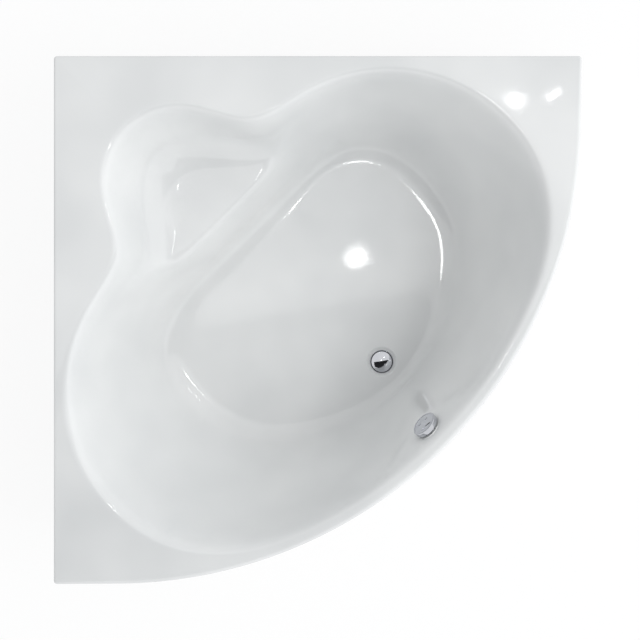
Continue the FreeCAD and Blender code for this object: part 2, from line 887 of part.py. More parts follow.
def make_foot(foot, out, across):
    """Levelling foot: a plastic pad and a threaded stud with a hexagon collar."""
    here = spot(out, across, "0")
    socket = "stud_radius + 0.3"
    pad = turned_body(f"foot_pad_{foot}",
                      [("0", "0"), ("pad_radius", "0"), ("pad_radius", "pad_height / 4"),
                       ("pad_neck_radius", "pad_height"), (socket, "pad_height"),
                       (socket, "stud_base"), ("0", "stud_base")])
    keep(pad, f"foot_pad_{foot}", here)

    stud = doc.addObject("PartDesign::Body", f"foot_stud_{foot}")
    rod = new_sketch(stud, "XY_Plane")
    draw_circle(rod, "0", "0", "stud_radius")
    feature(stud, "Pad", rod, Length="stud_top - stud_base")
    hexagon = new_sketch(stud, "XY_Plane")
    corner_points = [(f"nut_corner_radius * cos({60 * turn})",
                      f"nut_corner_radius * sin({60 * turn})") for turn in range(6)]
    draw_polygon(hexagon, corner_points)
    hexagon.setExpression("AttachmentOffset.Base.z", bound("pad_height - stud_base"))
    feature(stud, "Pad", hexagon, Length="collar_height")
    keep(stud, f"foot_stud_{foot}", here.multiply(spot("0", "0", "stud_base")))


# ---------------------------------------------------------------- waste and trap

def make_drain_flange():
    """Chrome flange in the recess, with its tail and the spider that guides the plug."""
    flange = turned_body("flange_ring", [
        ("flange_bore_radius", "-flange_tail_length"), ("flange_tail_radius", "-flange_tail_length"),
        ("flange_tail_radius", "0"), ("flange_radius", "0"),
        ("flange_radius", "flange_thickness / 3"), ("flange_radius - 2", "flange_thickness"),
        ("flange_bore_radius + 2", "flange_thickness"), ("flange_bore_radius", "flange_thickness / 3")])
    level = "-spider_below_flange - spider_height"
    hub = cylinder("spider_hub_radius", "spider_height", spot("0", "0", level))
    arms = []
    for turn in (0, 90):
        arm = box("2 * flange_bore_radius + 2", "3", "spider_height")
        arm.Placement = Placement(Vector(), Rotation(UP, turn)).multiply(
            spot("-flange_bore_radius - 1", "-1.5", level))
        arms.append(arm)
    bore = cylinder("stem_radius + stem_clearance", "3 * spider_height",
                    spot("0", "0", f"{level} - spider_height"))
    keep(cut(fused([flange, hub, *arms]), [bore]), "drain_flange",
         spot("drain_out", "0", "recess_floor"))


def make_plug():
    """Domed plug, its flat seal and the stem that stands on the lifter pin."""
    here = spot("drain_out", "0", "plug_underside")
    edge_top = "plug_edge_height"
    cap = turned_body("plug_cap", [("0", "0"), ("plug_radius - 1", "0"), ("plug_radius", "1"),
                                   ("plug_radius", edge_top), ("0", edge_top)])
    dome = new_sketch(cap, "XZ_Plane")
    radius = size("plug_radius")
    top = size("plug_edge_height + plug_dome_height")
    rise = size("plug_dome_height")
    sphere = (radius ** 2 + rise ** 2) / (2 * rise)
    low = Vector(radius, size(edge_top), 0)
    peak = Vector(0, top, 0)
    half_way = math.asin(radius / sphere) / 2
    side = Vector(sphere * math.sin(half_way), top - sphere + sphere * math.cos(half_way), 0)
    dome.addGeometry(Part.ArcOfCircle(low, side, peak))
    dome.addGeometry(Part.LineSegment(peak, Vector(0, size(edge_top), 0)))
    dome.addGeometry(Part.LineSegment(Vector(0, size(edge_top), 0), low))
    arc_starts_low = dome.getPoint(0, 1).y < dome.getPoint(0, 2).y
    low_end, high_end = (1, 2) if arc_starts_low else (2, 1)
    dome.addConstraint(Sketcher.Constraint("Coincident", 0, high_end, 1, 1))
    dome.addConstraint(Sketcher.Constraint("Coincident", 1, 2, 2, 1))
    dome.addConstraint(Sketcher.Constraint("Coincident", 2, 2, 0, low_end))
    tie_point(dome, 1, 1, "0", "plug_edge_height + plug_dome_height")
    tie_point(dome, 1, 2, "0", edge_top)
    tie_point(dome, 2, 2, "plug_radius", edge_top)
    dome.addConstraint(Sketcher.Constraint("PointOnObject", 0, 3, -2))
    feature(cap, "Revolution", dome, ReferenceAxis=(dome, ["V_Axis"]), Angle=360.0)
    keep(cap, "plug_cap", here)

    ring = [("stem_radius", "-seal_thickness"), ("seal_radius - 1", "-seal_thickness"),
            ("seal_radius", "-seal_thickness / 2"), ("seal_radius - 1", "0"), ("stem_radius", "0")]
    keep(turned_body("plug_seal", ring), "plug_seal", here)

    tip = "stem_radius - 1"
    stem = [("0", "0"), (tip, "0"), ("stem_radius", "1"), ("stem_radius", "stem_length"),
            ("0", "stem_length")]
    keep(turned_body("plug_stem", stem), "plug_stem", spot("drain_out", "0", "stem_bottom"))

    pin = [("0", "0"), ("pin_foot_radius", "0"), ("pin_foot_radius", "2"), ("stem_radius", "2"),
           ("stem_radius", "pin_length - 1"), (tip, "pin_length"), ("0", "pin_length")]
    keep(turned_body("lifter_pin", pin), "lifter_pin",
         spot("drain_out", "0", "stem_bottom - pin_length"))


def make_waste_body():
    """Cup below the floor with a spigot for the overflow and the guide of the lifter pin."""
    bore = "waste_body_radius - waste_body_wall"
    neck_bore = "neck_radius - waste_body_wall"
    bottom = "-waste_body_height"
    cup = turned_body("waste_cup", [
        (bore, "0"), ("waste_flange_radius", "0"), ("waste_flange_radius", "-waste_flange_height"),
        ("waste_body_radius", "-waste_flange_height"), ("waste_body_radius", f"{bottom}"),
        ("neck_radius", f"{bottom}"), ("neck_radius", f"{bottom} - neck_length"),
        (neck_bore, f"{bottom} - neck_length"), (neck_bore, f"{bottom} + waste_body_wall"),
        (bore, f"{bottom} + waste_body_wall")])
    guide_level = "-waste_body_height + pin_guide_rise"
    hub = cylinder("spider_hub_radius", "spider_height", spot("0", "0", guide_level))
    arms = []
    for turn in (45, 135):
        arm = box(f"2 * ({bore}) + 2", "3", "spider_height")
        arm.Placement = Placement(Vector(), Rotation(UP, turn)).multiply(
            spot(f"-({bore}) - 1", "-1.5", guide_level))
        arms.append(arm)
    guide_bore = cylinder("stem_radius + stem_clearance", "3 * spider_height",
                          spot("0", "0", f"{guide_level} - spider_height"))

    port_level = "hose_height - (waste_top)"
    bore_start = f"{bore} - waste_body_wall"
    spigot = cylinder("hose_radius", f"spigot_reach - ({bore_start})",
                      spot(bore_start, "0", port_level, LAY_OUT))
    inside = cylinder(bore, "waste_body_height", spot("0", "0", "-waste_body_height"))
    trimmed_spigot = cut(spigot, [inside])
    spigot_bore = cylinder("hose_radius - hose_wall", "spigot_reach",
                           spot(bore_start, "0", port_level, LAY_OUT))
    whole = fused([cup, trimmed_spigot, hub, *arms])
    keep(cut(whole, [guide_bore, spigot_bore]), "waste_body", spot("drain_out", "0", "waste_top"))


def make_waste_gasket():
    ring = [("waste_hole_radius + 0.5", "0"), ("waste_flange_radius", "0"),
            ("waste_flange_radius", "gasket_thickness"), ("waste_hole_radius + 0.5", "gasket_thickness")]
    keep(turned_body("waste_gasket", ring), "waste_gasket", spot("drain_out", "0", "waste_top"))


def make_trap():
    """Low bottle trap with its union nut and the outlet that runs to the left-hand wall."""
    collar = "neck_radius + pipe_clearance"
    outer = "trap_radius"
    wall = "trap_wall"
    slope = 8
    cup = turned_body("trap_cup", [
        ("0", "trap_bottom"), (f"{outer} - {slope}", "trap_bottom"), (outer, f"trap_bottom + {slope}"),
        (outer, "trap_shoulder"), ("neck_radius + 7", "trap_shoulder + 4"),
        ("neck_radius + 7", "trap_collar_top"), (collar, "trap_collar_top"),
        (collar, f"trap_shoulder + 4 - {wall}"), (f"{outer} - {wall}", f"trap_shoulder - {wall}"),
        (f"{outer} - {wall}", f"trap_bottom + {slope} + 1"),
        (f"{outer} - {slope} - 1", f"trap_bottom + {wall}"), ("0", f"trap_bottom + {wall}")])
    to_wall = Rotation(UP, Vector(-1, -1, 0))
    at_outlet = spot("0", "0", "outlet_height", to_wall)
    pipe = cylinder("outlet_radius", "outlet_reach", at_outlet)
    stop_collar = cylinder("outlet_collar_radius", "outlet_reach - outlet_spigot", at_outlet)
    hollow = cylinder(f"{outer} - {wall} / 2", "2 * outlet_collar_radius + 2",
                      spot("0", "0", "outlet_height - outlet_collar_radius - 1"))
    pipe_bore = cylinder("outlet_radius - outlet_wall", "2 * outlet_reach", at_outlet)
    outlet = cut(fused([pipe, stop_collar]), [hollow])
    keep(cut(fused([cup, outlet]), [pipe_bore]), "trap_body", spot("drain_out", "0", "0"))

    nut_bore = "neck_radius + pipe_clearance"
    skirt = "-trap_nut_height / 2 + 3"
    nut = [("neck_radius + 7.3", skirt), ("trap_nut_radius", skirt),
           ("trap_nut_radius", "trap_nut_height / 2 - 2"), ("trap_nut_radius - 2", "trap_nut_height / 2"),
           (nut_bore, "trap_nut_height / 2"), (nut_bore, "1"), ("neck_radius + 7.3", "1")]
    keep(turned_body("trap_nut", nut), "trap_nut", spot("drain_out", "0", "trap_collar_top"))


# ---------------------------------------------------------------- overflow

def spigot_end(seat):
    """Lower end of the overflow's spigot, where the pipe to the waste starts."""
    middle = seat.multiply(spot("0", "0", "-gasket_seat - overflow_body_length / 2")).Base
    return middle + OUT * size("spigot_offset") - UP * size("spigot_drop")


def make_overflow(seat):
    """Faceplate, gasket, cup, cable drum and rotary knob on the pad of the basin wall."""
    bore = "spindle_radius + spindle_clearance"
    hub = "spindle_radius + 4"
    plate = turned_body("overflow_plate_ring", [
        (bore, "-14"), (hub, "-14"), (hub, "plate_gap"), ("plate_radius", "plate_gap"),
        ("plate_radius", "plate_thickness - 1"), ("plate_radius - 1.5", "plate_thickness"),
        (hub, "plate_thickness"), (hub, "knob_standoff + 3"), (bore, "knob_standoff + 3")])
    inlets = []
    for turn in range(6):
        hole = cylinder("5.5", "4 * plate_thickness")
        around = Placement(Vector(), Rotation(UP, 60 * turn))
        hole.Placement = around.multiply(spot("18", "0", "-plate_thickness"))
        inlets.append(hole)
    keep(cut(plate, inlets), "overflow_plate", seat)

    gasket_bore = "overflow_hole_radius"
    gasket = [(gasket_bore, "-gasket_seat"), ("overflow_flange_radius", "-gasket_seat"),
              ("overflow_flange_radius", "-overflow_boss_length"), (gasket_bore, "-overflow_boss_length")]
    keep(turned_body("overflow_gasket", gasket), "overflow_gasket", seat)

    inner = "overflow_body_radius - waste_body_wall"
    cup = turned_body("overflow_cup", [
        (inner, "-gasket_seat"), ("overflow_flange_radius", "-gasket_seat"),
        ("overflow_flange_radius", "-gasket_seat - 3"), ("overflow_body_radius", "-gasket_seat - 3"),
        ("overflow_body_radius", "-overflow_back"), ("0", "-overflow_back"),
        ("0", "-overflow_back + waste_body_wall"), (inner, "-overflow_back + waste_body_wall")])
    cup.Placement = seat
    end = spigot_end(seat)
    spigot = cylinder("hose_radius", "spigot_drop", Placement(end, Rotation()))
    inside = cylinder(inner, "overflow_body_length",
                      seat.multiply(spot("0", "0", "-overflow_back + waste_body_wall")))
    spigot_bore = cylinder("hose_radius - hose_wall", "spigot_drop + 1",
                           Placement(end - UP, Rotation()))
    body = cut(fused([cup, cut(spigot, [inside])]), [spigot_bore])
    keep(body, "overflow_body")

    drum = turned_body("cable_drum", [
        ("0", "-gasket_seat - overflow_body_length / 2 - drum_thickness / 2"),
        ("drum_radius", "-gasket_seat - overflow_body_length / 2 - drum_thickness / 2"),
        ("drum_radius", "-gasket_seat - overflow_body_length / 2 + drum_thickness / 2"),
        ("spindle_radius", "-gasket_seat - overflow_body_length / 2 + drum_thickness / 2"),
        ("spindle_radius", "knob_standoff + knob_thickness / 2"),
        ("0", "knob_standoff + knob_thickness / 2")])
    keep(drum, "cable_drum", seat)
    make_knob(seat)


def make_knob(seat):
    """Round knob with a side band, a dished face, a lens-shaped grip and two short slots."""
    back, front = "knob_standoff", "knob_standoff + knob_thickness"
    face = "knob_radius - knob_band"
    groove = f"{face} - knob_groove_width"
    inner = "knob_radius - 3"
    hub = "spindle_radius + 4"
    floor = "knob_standoff + knob_thickness / 2 + 1"
    socket = "knob_standoff + knob_thickness / 2 + 0.3"
    knob = turned_body("knob_blank", [
        (inner, back), ("knob_radius", back), ("knob_radius", f"{front} - 1.5"),
        ("knob_radius - 1.5", front), (face, front), (face, f"{front} - knob_groove_depth"),
        (groove, f"{front} - knob_groove_depth"), (groove, f"{front} - 0.4"), ("0", f"{front} - 0.4"),
        ("0", socket), ("spindle_radius", socket), ("spindle_radius", f"{back} + 3.3"),
        (hub, f"{back} + 3.3"), (hub, floor), (inner, floor)])
    knob.Placement = seat
    dish = add("Part::Sphere", Radius="knob_dish_radius")
    depth = size("(knob_radius - knob_band) ^ 2 / (2 * knob_dish_radius)")
    dish.Placement = seat.multiply(spot("0", "0", f"{front} - 0.4 + knob_dish_radius - {depth}"))

    half, rise = size("grip_length / 2"), size("grip_height / 2")
    lens_radius = (half ** 2 + rise ** 2) / (2 * rise)
    pair = []
    for direction in (1, -1):
        lobe = cylinder("grip_depth", "2 * grip_depth")
        lobe.setExpression("Radius", str(lens_radius))
        offset = direction * (lens_radius - rise)
        lobe.Placement = seat.multiply(spot("0", f"grip_offset + {offset}", f"{front} - grip_depth"))
        pair.append(lobe)
    grip = doc.addObject("Part::MultiCommon", "grip")
    grip.Shapes = pair
    slots = []
    for direction in (1, -1):
        slot = box("slot_length", "slot_width", "2 * grip_depth")
        slot.Placement = seat.multiply(
            spot(f"{direction} * 13 - slot_length / 2", "-15", f"{front} - grip_depth"))
        slots.append(slot)
    keep(cut(knob, [dish, grip, *slots]), "overflow_knob")


# ---------------------------------------------------------------- overflow pipe

def bent_line(points, radii):
    """Wire through points with a tangent arc of the given radius at each inner point."""
    edges = []
    start = points[0]
    for before, corner, after, radius in zip(points, points[1:], points[2:], radii):
        back = (before - corner).normalize()
        ahead = (after - corner).normalize()
        half_turn = (math.pi - back.getAngle(ahead)) / 2
        trim = radius * math.tan(half_turn)
        entry, leave = corner + back * trim, corner + ahead * trim
        bisector = (back + ahead).normalize()
        middle = corner + bisector * (radius / math.cos(half_turn) - radius)
        edges.append(Part.LineSegment(start, entry).toShape())
        edges.append(Part.Arc(entry, middle, leave).toShape())
        start = leave
    edges.append(Part.LineSegment(start, points[-1]).toShape())
    return Part.Wire(edges)


def swept_tube(path, radius, bore=0):
    """Tube along a wire, solid where the bore is 0."""
    start = path.Edges[0].valueAt(path.Edges[0].FirstParameter)
    direction = path.Edges[0].tangentAt(path.Edges[0].FirstParameter)

    def sweep(section_radius):
        section = Part.Wire([Part.Circle(start, direction, section_radius).toShape()])
        return path.makePipeShell([section], True, False)

    tube = sweep(radius)
    return tube.cut(sweep(bore)) if bore else tube


def make_hose(seat):
    """Overflow hose down behind the wall and in to the waste, with its two nuts."""
    top, level = spigot_end(seat), size("hose_height")
    end = Vector(size("drain_out + spigot_reach"), 0, level)
    path = bent_line([top, Vector(top.x, 0, level), end], [size("hose_bend")])
    hose = swept_tube(path, size("hose_radius"), size("hose_radius - hose_wall"))
    set_shape("overflow_hose", hose)

    nuts = []
    half = "hose_nut_height / 2"
    for place in (Placement(top - UP * size(half), Rotation()),
                  spot(f"drain_out + spigot_reach - {half}", "0", "hose_height", LAY_OUT)):
        nuts.append(cut(cylinder("hose_nut_radius", "hose_nut_height", place),
                        [cylinder("hose_radius + pipe_clearance", "hose_nut_height", place)]))
    keep(fused(nuts), "hose_nuts")


# ---------------------------------------------------------------- front panel

def strip(inset, width, bottom, height, end):
    """Upright strip that follows the front line between two insets."""
    outer = front_path(inset, bottom, end)
    inner = front_path(inset + width, bottom, end)
    ends = [Part.LineSegment(outer[0].firstVertex().Point, inner[0].firstVertex().Point).toShape(),
            Part.LineSegment(outer[2].lastVertex().Point, inner[2].lastVertex().Point).toShape()]
    wire = Part.Wire(Part.__sortEdges__(outer + inner + ends))
    return Part.Face(wire).extrude(UP * height)


def make_panel():
    """Bowed front panel with a return along its top and its bottom."""
    inset, thickness = size("panel_inset"), size("panel_thickness")
    low, high = size("panel_bottom"), size("panel_top")
    end = size("shell_thickness + panel_end_gap")
    sheet_part = strip(inset, thickness, low, high - low, end)
    returns = [strip(inset + thickness / 2, width + thickness / 2, level, thickness, end)
               for width, level in ((size("panel_foot_return"), low),
                                    (size("panel_top_return"), high - thickness))]
    panel = sheet_part.multiFuse(returns).removeSplitter()
    set_shape("front_panel", panel)


def bow_spot(turn, inset, height):
    """Placement on the bow, turned about its centre, X pointing outward."""
    centre = spot("bow_start * sqrt(2)", "0", height)
    around = Placement(Vector(), Rotation(UP, turn))
    return centre.multiply(around).multiply(spot(f"side_length - bow_start - ({inset})", "0", "0"))


def make_panel_fixings():
    """Clips between the top return and the rim, and brackets from the frame to the foot."""
    clips = []
    for turn in (-36, -18, 0, 18, 36):
        corner = bow_spot(turn, "panel_inner + clip_depth", "panel_top").multiply(
            spot("0", "-clip_width / 2", "0"))
        clips.append(box("clip_depth", "clip_width", "panel_top_gap", corner))
    keep(fused(clips), "panel_clips")

    arms = []
    front_face = "(front_rail_out + half_tube)"
    leg = size("bow_start * sqrt(2) + sqrt((side_length - bow_start - panel_inner"
               " - panel_foot_return / 2) ^ 2 - bracket_across ^ 2)")
    for side in ("-", ""):
        start = f"{side}bracket_across - bracket_width / 2"
        level = box("1", "bracket_width", "bracket_thickness", spot(front_face, start, "frame_bottom"))
        level.setExpression("Length", f"{leg} - {size(front_face)}")
        upright = box("bracket_thickness", "bracket_width",
                      "frame_bottom - panel_bottom - panel_thickness + bracket_thickness")
        upright.Placement = spot(f"{leg} - bracket_thickness", start, "panel_bottom + panel_thickness")
        arms += [level, upright]
    keep(fused(arms), "panel_brackets")


# ---------------------------------------------------------------- build, check and write

def build():
    plan = BasinPlan()
    seat = overflow_seat(plan)
    make_tub_shell(plan, seat)
    make_frame()
    make_deck_plates()
    make_base_board()
    make_frame_screws()
    make_weld_nuts()
    for foot, (out, across) in FOOT_SPOTS.items():
        make_foot(foot, out, across)
    make_drain_flange()
    make_plug()
    make_waste_body()
    make_waste_gasket()
    make_trap()
    make_overflow(seat)
    make_hose(seat)
    make_panel()
    make_panel_fixings()
    doc.recompute()


def check():
    """Stop on any failed object or any empty or invalid sub-part."""
    for item in doc.Objects:
        if "Invalid" in item.State or "Error" in item.State:
            raise RuntimeError(f"{item.Name} ({item.Label}) failed: {item.State}")
    for node in nodes:
        if node.Shape.isNull() or not node.Shape.isValid() or not node.Shape.Solids:
            raise RuntimeError(f"{node.Label} has no valid shape")


def write():
    os.makedirs("parts", exist_ok=True)
    for node in nodes:
        node.Shape.exportStep(f"parts/{node.Label}.step")
        print(f"{node.Label}: {len(node.Shape.Solids)} solid(s), {node.Shape.Volume / 1000:.1f} cm3")


build()
check()
write()
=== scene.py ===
import json
import math

import bmesh
import bpy
import numpy as np
from mathutils import Matrix, Vector


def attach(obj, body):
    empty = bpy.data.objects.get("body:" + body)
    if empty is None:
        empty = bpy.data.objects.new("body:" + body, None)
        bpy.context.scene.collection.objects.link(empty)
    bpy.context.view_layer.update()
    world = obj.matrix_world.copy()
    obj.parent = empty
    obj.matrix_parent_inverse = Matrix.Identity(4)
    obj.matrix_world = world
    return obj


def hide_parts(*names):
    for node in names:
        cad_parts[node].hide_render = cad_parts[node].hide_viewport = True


# Corner bath seen from above, on a white floor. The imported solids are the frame. A finer
# skin replaces the tub shell, and every other node keeps its mesh and gets a material.
# Lengths in the shape functions are millimetres, scaled by MM on the way into a mesh.
# Points of the basin are (out, across, height): out from the wall corner along the
# diagonal, across the diagonal, and up from the floor.

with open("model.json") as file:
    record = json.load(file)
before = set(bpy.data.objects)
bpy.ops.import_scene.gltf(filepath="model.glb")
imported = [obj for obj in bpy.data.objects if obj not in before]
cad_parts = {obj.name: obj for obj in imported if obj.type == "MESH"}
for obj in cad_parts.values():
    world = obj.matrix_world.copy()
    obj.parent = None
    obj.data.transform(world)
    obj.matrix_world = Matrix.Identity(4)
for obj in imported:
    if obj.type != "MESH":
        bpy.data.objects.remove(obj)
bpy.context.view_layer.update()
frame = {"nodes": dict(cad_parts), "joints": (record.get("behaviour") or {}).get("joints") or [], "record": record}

MM = 0.001
SIDE = 1500
HALF = SIDE / 2
BOW_START = 175
BOW_CENTRE = BOW_START * math.sqrt(2)
BOW_RADIUS = SIDE - BOW_START

# Rim
RIM = 600
SKIRT_DROP = 35
CORNER_RADIUS = 10
EDGE_RADIUS = 8
FRONT_ROLL = 15
FRONT_DROP = 12
SHEET = 5
SKIN = 7
SKIN_FULL_DEPTH = 40
FRONT_RIM = 32

# Lip of the basin
NICHE_OUT, NICHE_RADIUS, NICHE_BLEND = 506, 221, 125
LOBE_OUT, LOBE_ACROSS, LOBE_RADIUS = 1031, 323, 472
KITE_BACK, KITE_FRONT = 978, 1500
BOW_BLEND = 69
LIP_RADIUS = 16

# Foot of the wall, floor and seat
DEPTH = 430
CENTRE = 950
FOOT_BACK, FOOT_HALF_WIDTH = 693, 515
FOOT_FRONT_CENTRE, FOOT_FRONT_RADIUS = 778, 620
FOOT_CORNER_BLEND, FOOT_FRONT_BLEND = 250, 80
FILLET_SIDE, FILLET_FRONT = 90, 50
FILLET_GROWTH_ANGLE = math.radians(60)
BELLY = 14
FALL = 0.012
DRAIN_OUT = 1299
SEAT_DEPTH, SEAT_EDGE = 210, 637
SEAT_FROM_WALL, SEAT_CORNER_BLEND, SEAT_BEND, SEAT_BACK_BEND = 240, 140, 26, 52
SEAT_HALF_ANGLE = math.radians(60)
SEAT_FADE = 3 * SEAT_BEND
PAD_RISE, PAD_FOOT_DEPTH = 24, 95
PAD_TOP_HALF, PAD_FOOT_HALF = 170, 60

# Openings and bosses of the shell
RECESS_RADIUS, RECESS_FLAT, RECESS_DEPTH, RECESS_SOFTNESS = 48, 40, 6, 1.5
BOSS_RADIUS, BOSS_DROP, BOSS_TOP = 56, 12, 2
WASTE_HOLE, WASTE_CUT_TOP, WASTE_CUT_FLARE = 26, 12, 4
OVERFLOW_HOLE, OVERFLOW_SEAT, OVERFLOW_CUT_TOP = 29, 34, 20
OVERFLOW_BOSS, OVERFLOW_BOSS_LENGTH, OVERFLOW_BOSS_TOP = 40, 11, -1
CUT_BOTTOM = -40

# Control net of the basin: where its points stand along walls and fillets, as shares
COLUMNS, COLUMN_CROWDING, WALL_ROWS = 48, 0.35, 9
WALL_START = 0.06
FILLET_PULL = 0.3

# Faces
FACES_PER_COLUMN, FACES_PER_ROW = 8, 9
BOW_FACES, CORNER_FACES, EDGE_FACES, TURNED_FACES = 160, 8, 8, 96
SHARP_ANGLE = 0.5
TINY = 1e-9

# Light and camera, in metres, watts and shares
WORLD_LEVEL, WORLD_SLANT = 0.755, 0.34
BRIGHT_SIDE = (1, -0.1, 0)
UP = (0, 0, 1)
HORIZON_HEIGHT, HORIZON_SHARE, ZENITH_SHARE = 0.45, 1.2, 0.72
FLOOR_WHITE_SHARE, FLOOR_WHITE = 0.82, 1.06
LAMPS = {
    # name: place, aim, size, power, whether it gives glints or light
    "key": ((6.3, -0.4, 7.0), (0, 0, 0.3), (3.6, 3.6), 196, False),
    "window": ((-0.02, 0.05, 3.2), (0, 0, 0), (0.11, 0.08), 0.7, True),
    "corner_lamp": ((0.78, 0.95, 3.2), (0.6, 0.6, 0.6), (0.06, 0.11), 0.45, True),
    "edge_lamp": ((1.05, 1.06, 3.2), (0.6, 0.6, 0.6), (0.06, 0.11), 0.45, True),
}
CARD_CORNERS = [(-3, -0.7), (3, 0.3), (3, -0.9), (0.95, -1.1), (0.8, -3), (-3, -3)]
CARD_HEIGHT = 3.1
CAMERA_PLACE, CAMERA_OVER_RIM = (0.274, 0.245), 3.08
PICTURE, FOCAL_PIXELS, TUB_PIXEL = 640, 1086.6, (317.7, 320.2)


# ---------------------------------------------------------------- plan of the basin

def smooth_min(first, second, blend):
    overlap = max(blend - abs(first - second), 0) / blend
    return min(first, second) - overlap * overlap * blend / 4


def smooth_step(value):
    value = min(max(value, 0), 1)
    return value * value * (3 - 2 * value)


def lobes(out, across):
    """Depth inside the rounded kite that holds both lobes."""
    def gap_to_side(tip):
        run = LOBE_OUT - tip
        share = ((out - tip) * run + across * LOBE_ACROSS) / (run ** 2 + LOBE_ACROSS ** 2)
        share = min(max(share, 0), 1)
        return math.hypot(out - tip - share * run, across - share * LOBE_ACROSS)

    rise = across / LOBE_ACROSS
    back = KITE_BACK + (LOBE_OUT - KITE_BACK) * rise
    front = KITE_FRONT + (LOBE_OUT - KITE_FRONT) * rise
    if rise <= 1 and back <= out <= front:
        return LOBE_RADIUS
    return LOBE_RADIUS - min(gap_to_side(KITE_BACK), gap_to_side(KITE_FRONT))


def lip(out, across):
    """Depth inside the lip."""
    across = abs(across)
    niche = NICHE_RADIUS - math.hypot(out - NICHE_OUT, across)
    both = -smooth_min(-niche, -lobes(out, across), NICHE_BLEND)
    bow = BOW_RADIUS - FRONT_RIM - math.hypot(out - BOW_CENTRE, across)
    return smooth_min(both, bow, BOW_BLEND)


def foot(out, across):
    """Depth inside the line where the wall would meet the floor."""
    across = abs(across)
    sides = smooth_min(out - FOOT_BACK, FOOT_HALF_WIDTH - across, FOOT_CORNER_BLEND)
    bow = FOOT_FRONT_RADIUS - math.hypot(out - FOOT_FRONT_CENTRE, across)
    return smooth_min(sides, bow, FOOT_FRONT_BLEND)


def reach(outline, angle, inset=0):
    """Distance from the basin centre to an outline, at an angle from the bow."""
    def depth(radius):
        return outline(CENTRE + radius * math.cos(angle), radius * math.sin(angle)) - inset

    step = 10
    far = step
    while depth(far) > 0:
        far += step
    near = far - step
    while far - near > 1e-6:
        middle = (near + far) / 2
        if depth(middle) > 0:
            near = middle
        else:
            far = middle
    return near


def wall_rows(top, low, fillet):
    """(radius, depth) of the control points of a plain wall, lip to floor."""
    share = fillet / math.hypot(top - low, DEPTH)
    rows = []
    for index in range(WALL_ROWS):
        fall = WALL_START + (1 - share - WALL_START) * index / (WALL_ROWS - 1)
        belly = BELLY * math.sin(math.pi * fall)
        rows.append((top + (low - top) * fall + belly, DEPTH * fall))
    rows.append((low + (top - low) * FILLET_PULL * share, DEPTH * (1 - FILLET_PULL * share)))
    rows.append((low - FILLET_PULL * fillet, DEPTH))
    return rows


def seat_back(out, across):
    """Depth inside the back of the seat, which follows both room walls round a corner."""
    along_top = (out + across) / math.sqrt(2) - SEAT_FROM_WALL
    along_left = (out - across) / math.sqrt(2) - SEAT_FROM_WALL
    return smooth_min(along_top, along_left, SEAT_CORNER_BLEND)


def seat_rows(top, low, fillet, edge, wall_foot):
    """(radius, depth) of the control points over the corner seat."""
    bend = min(SEAT_BEND, (wall_foot - edge) / 2)
    back_bend = min(SEAT_BACK_BEND, (wall_foot - edge) / 2)
    riser = edge - bend / 2
    rows = [(top + (wall_foot - top) * fall, SEAT_DEPTH * fall) for fall in (0.2, 0.65)]
    rows.append((wall_foot + back_bend / 3, SEAT_DEPTH - back_bend))
    rows.append((wall_foot - back_bend, SEAT_DEPTH))
    rows.append((edge + (wall_foot - edge) * 0.4, SEAT_DEPTH))
    rows.append((edge + bend * 0.6, SEAT_DEPTH + 1))
    rows.append((edge - 3, SEAT_DEPTH + 4))
    rows.append((riser, SEAT_DEPTH + bend))
    rows.append((riser + (low - riser) * 0.6, SEAT_DEPTH + (DEPTH - SEAT_DEPTH) * 0.6))
    rows.append((low + bend / 3, DEPTH - bend))
    rows.append((low - FILLET_PULL * fillet, DEPTH))
    return rows


def pad_shift(angle, radius, depth):
    """How far the overflow pad stands in from the plain wall at the bow."""
    if math.cos(angle) <= 0:
        return 0
    down = depth / PAD_FOOT_DEPTH
    below = (depth - PAD_FOOT_DEPTH) / (DEPTH - PAD_FOOT_DEPTH)
    rise = PAD_RISE * (down if down < 1 else 1 - below)
    half_width = PAD_TOP_HALF - (PAD_TOP_HALF - PAD_FOOT_HALF) * min(down, 1)
    beyond = abs(radius * math.sin(angle)) - half_width
    return rise * smooth_step(1 - beyond / PAD_FOOT_HALF)


def column(angle):
    """Control points of the basin's inner face at one angle from the bow."""
    away = abs(math.pi - angle % (2 * math.pi))
    seat_share = 0
    if away < SEAT_HALF_ANGLE:
        seat_edge = (CENTRE - SEAT_EDGE) / math.cos(away)
        wall_foot = reach(seat_back, angle)
        seat_share = smooth_step((wall_foot - seat_edge) / SEAT_FADE)
    growth = smooth_step((math.pi - away) / FILLET_GROWTH_ANGLE)
    fillet = FILLET_FRONT + (FILLET_SIDE - FILLET_FRONT) * growth
    edge = reach(lip, angle)
    top = reach(lip, angle, LIP_RADIUS * 0.75)
    low = reach(foot, angle)
    rows = wall_rows(top, low, fillet)
    if seat_share > 0:
        seat = seat_rows(top, low, fillet, seat_edge, wall_foot)
        rows = [(plain[0] + (over[0] - plain[0]) * seat_share,
                 plain[1] + (over[1] - plain[1]) * seat_share)
                for plain, over in zip(rows, seat)]
    roll = [(edge + LIP_RADIUS, 0), (edge + LIP_RADIUS * 0.3, 0),
            (reach(lip, angle, LIP_RADIUS * 0.35), LIP_RADIUS * 0.2)]
    floor = [(low - fillet, DEPTH), (low - 1.4 * fillet, DEPTH)]
    points = []
    for radius, depth in roll + rows + floor:
        radius -= pad_shift(angle, radius, depth)
        out = CENTRE + radius * math.cos(angle)
        fall = FALL * (out - DRAIN_OUT) * depth / DEPTH
        points.append((out, radius * math.sin(angle), RIM - depth - fall))
    return points


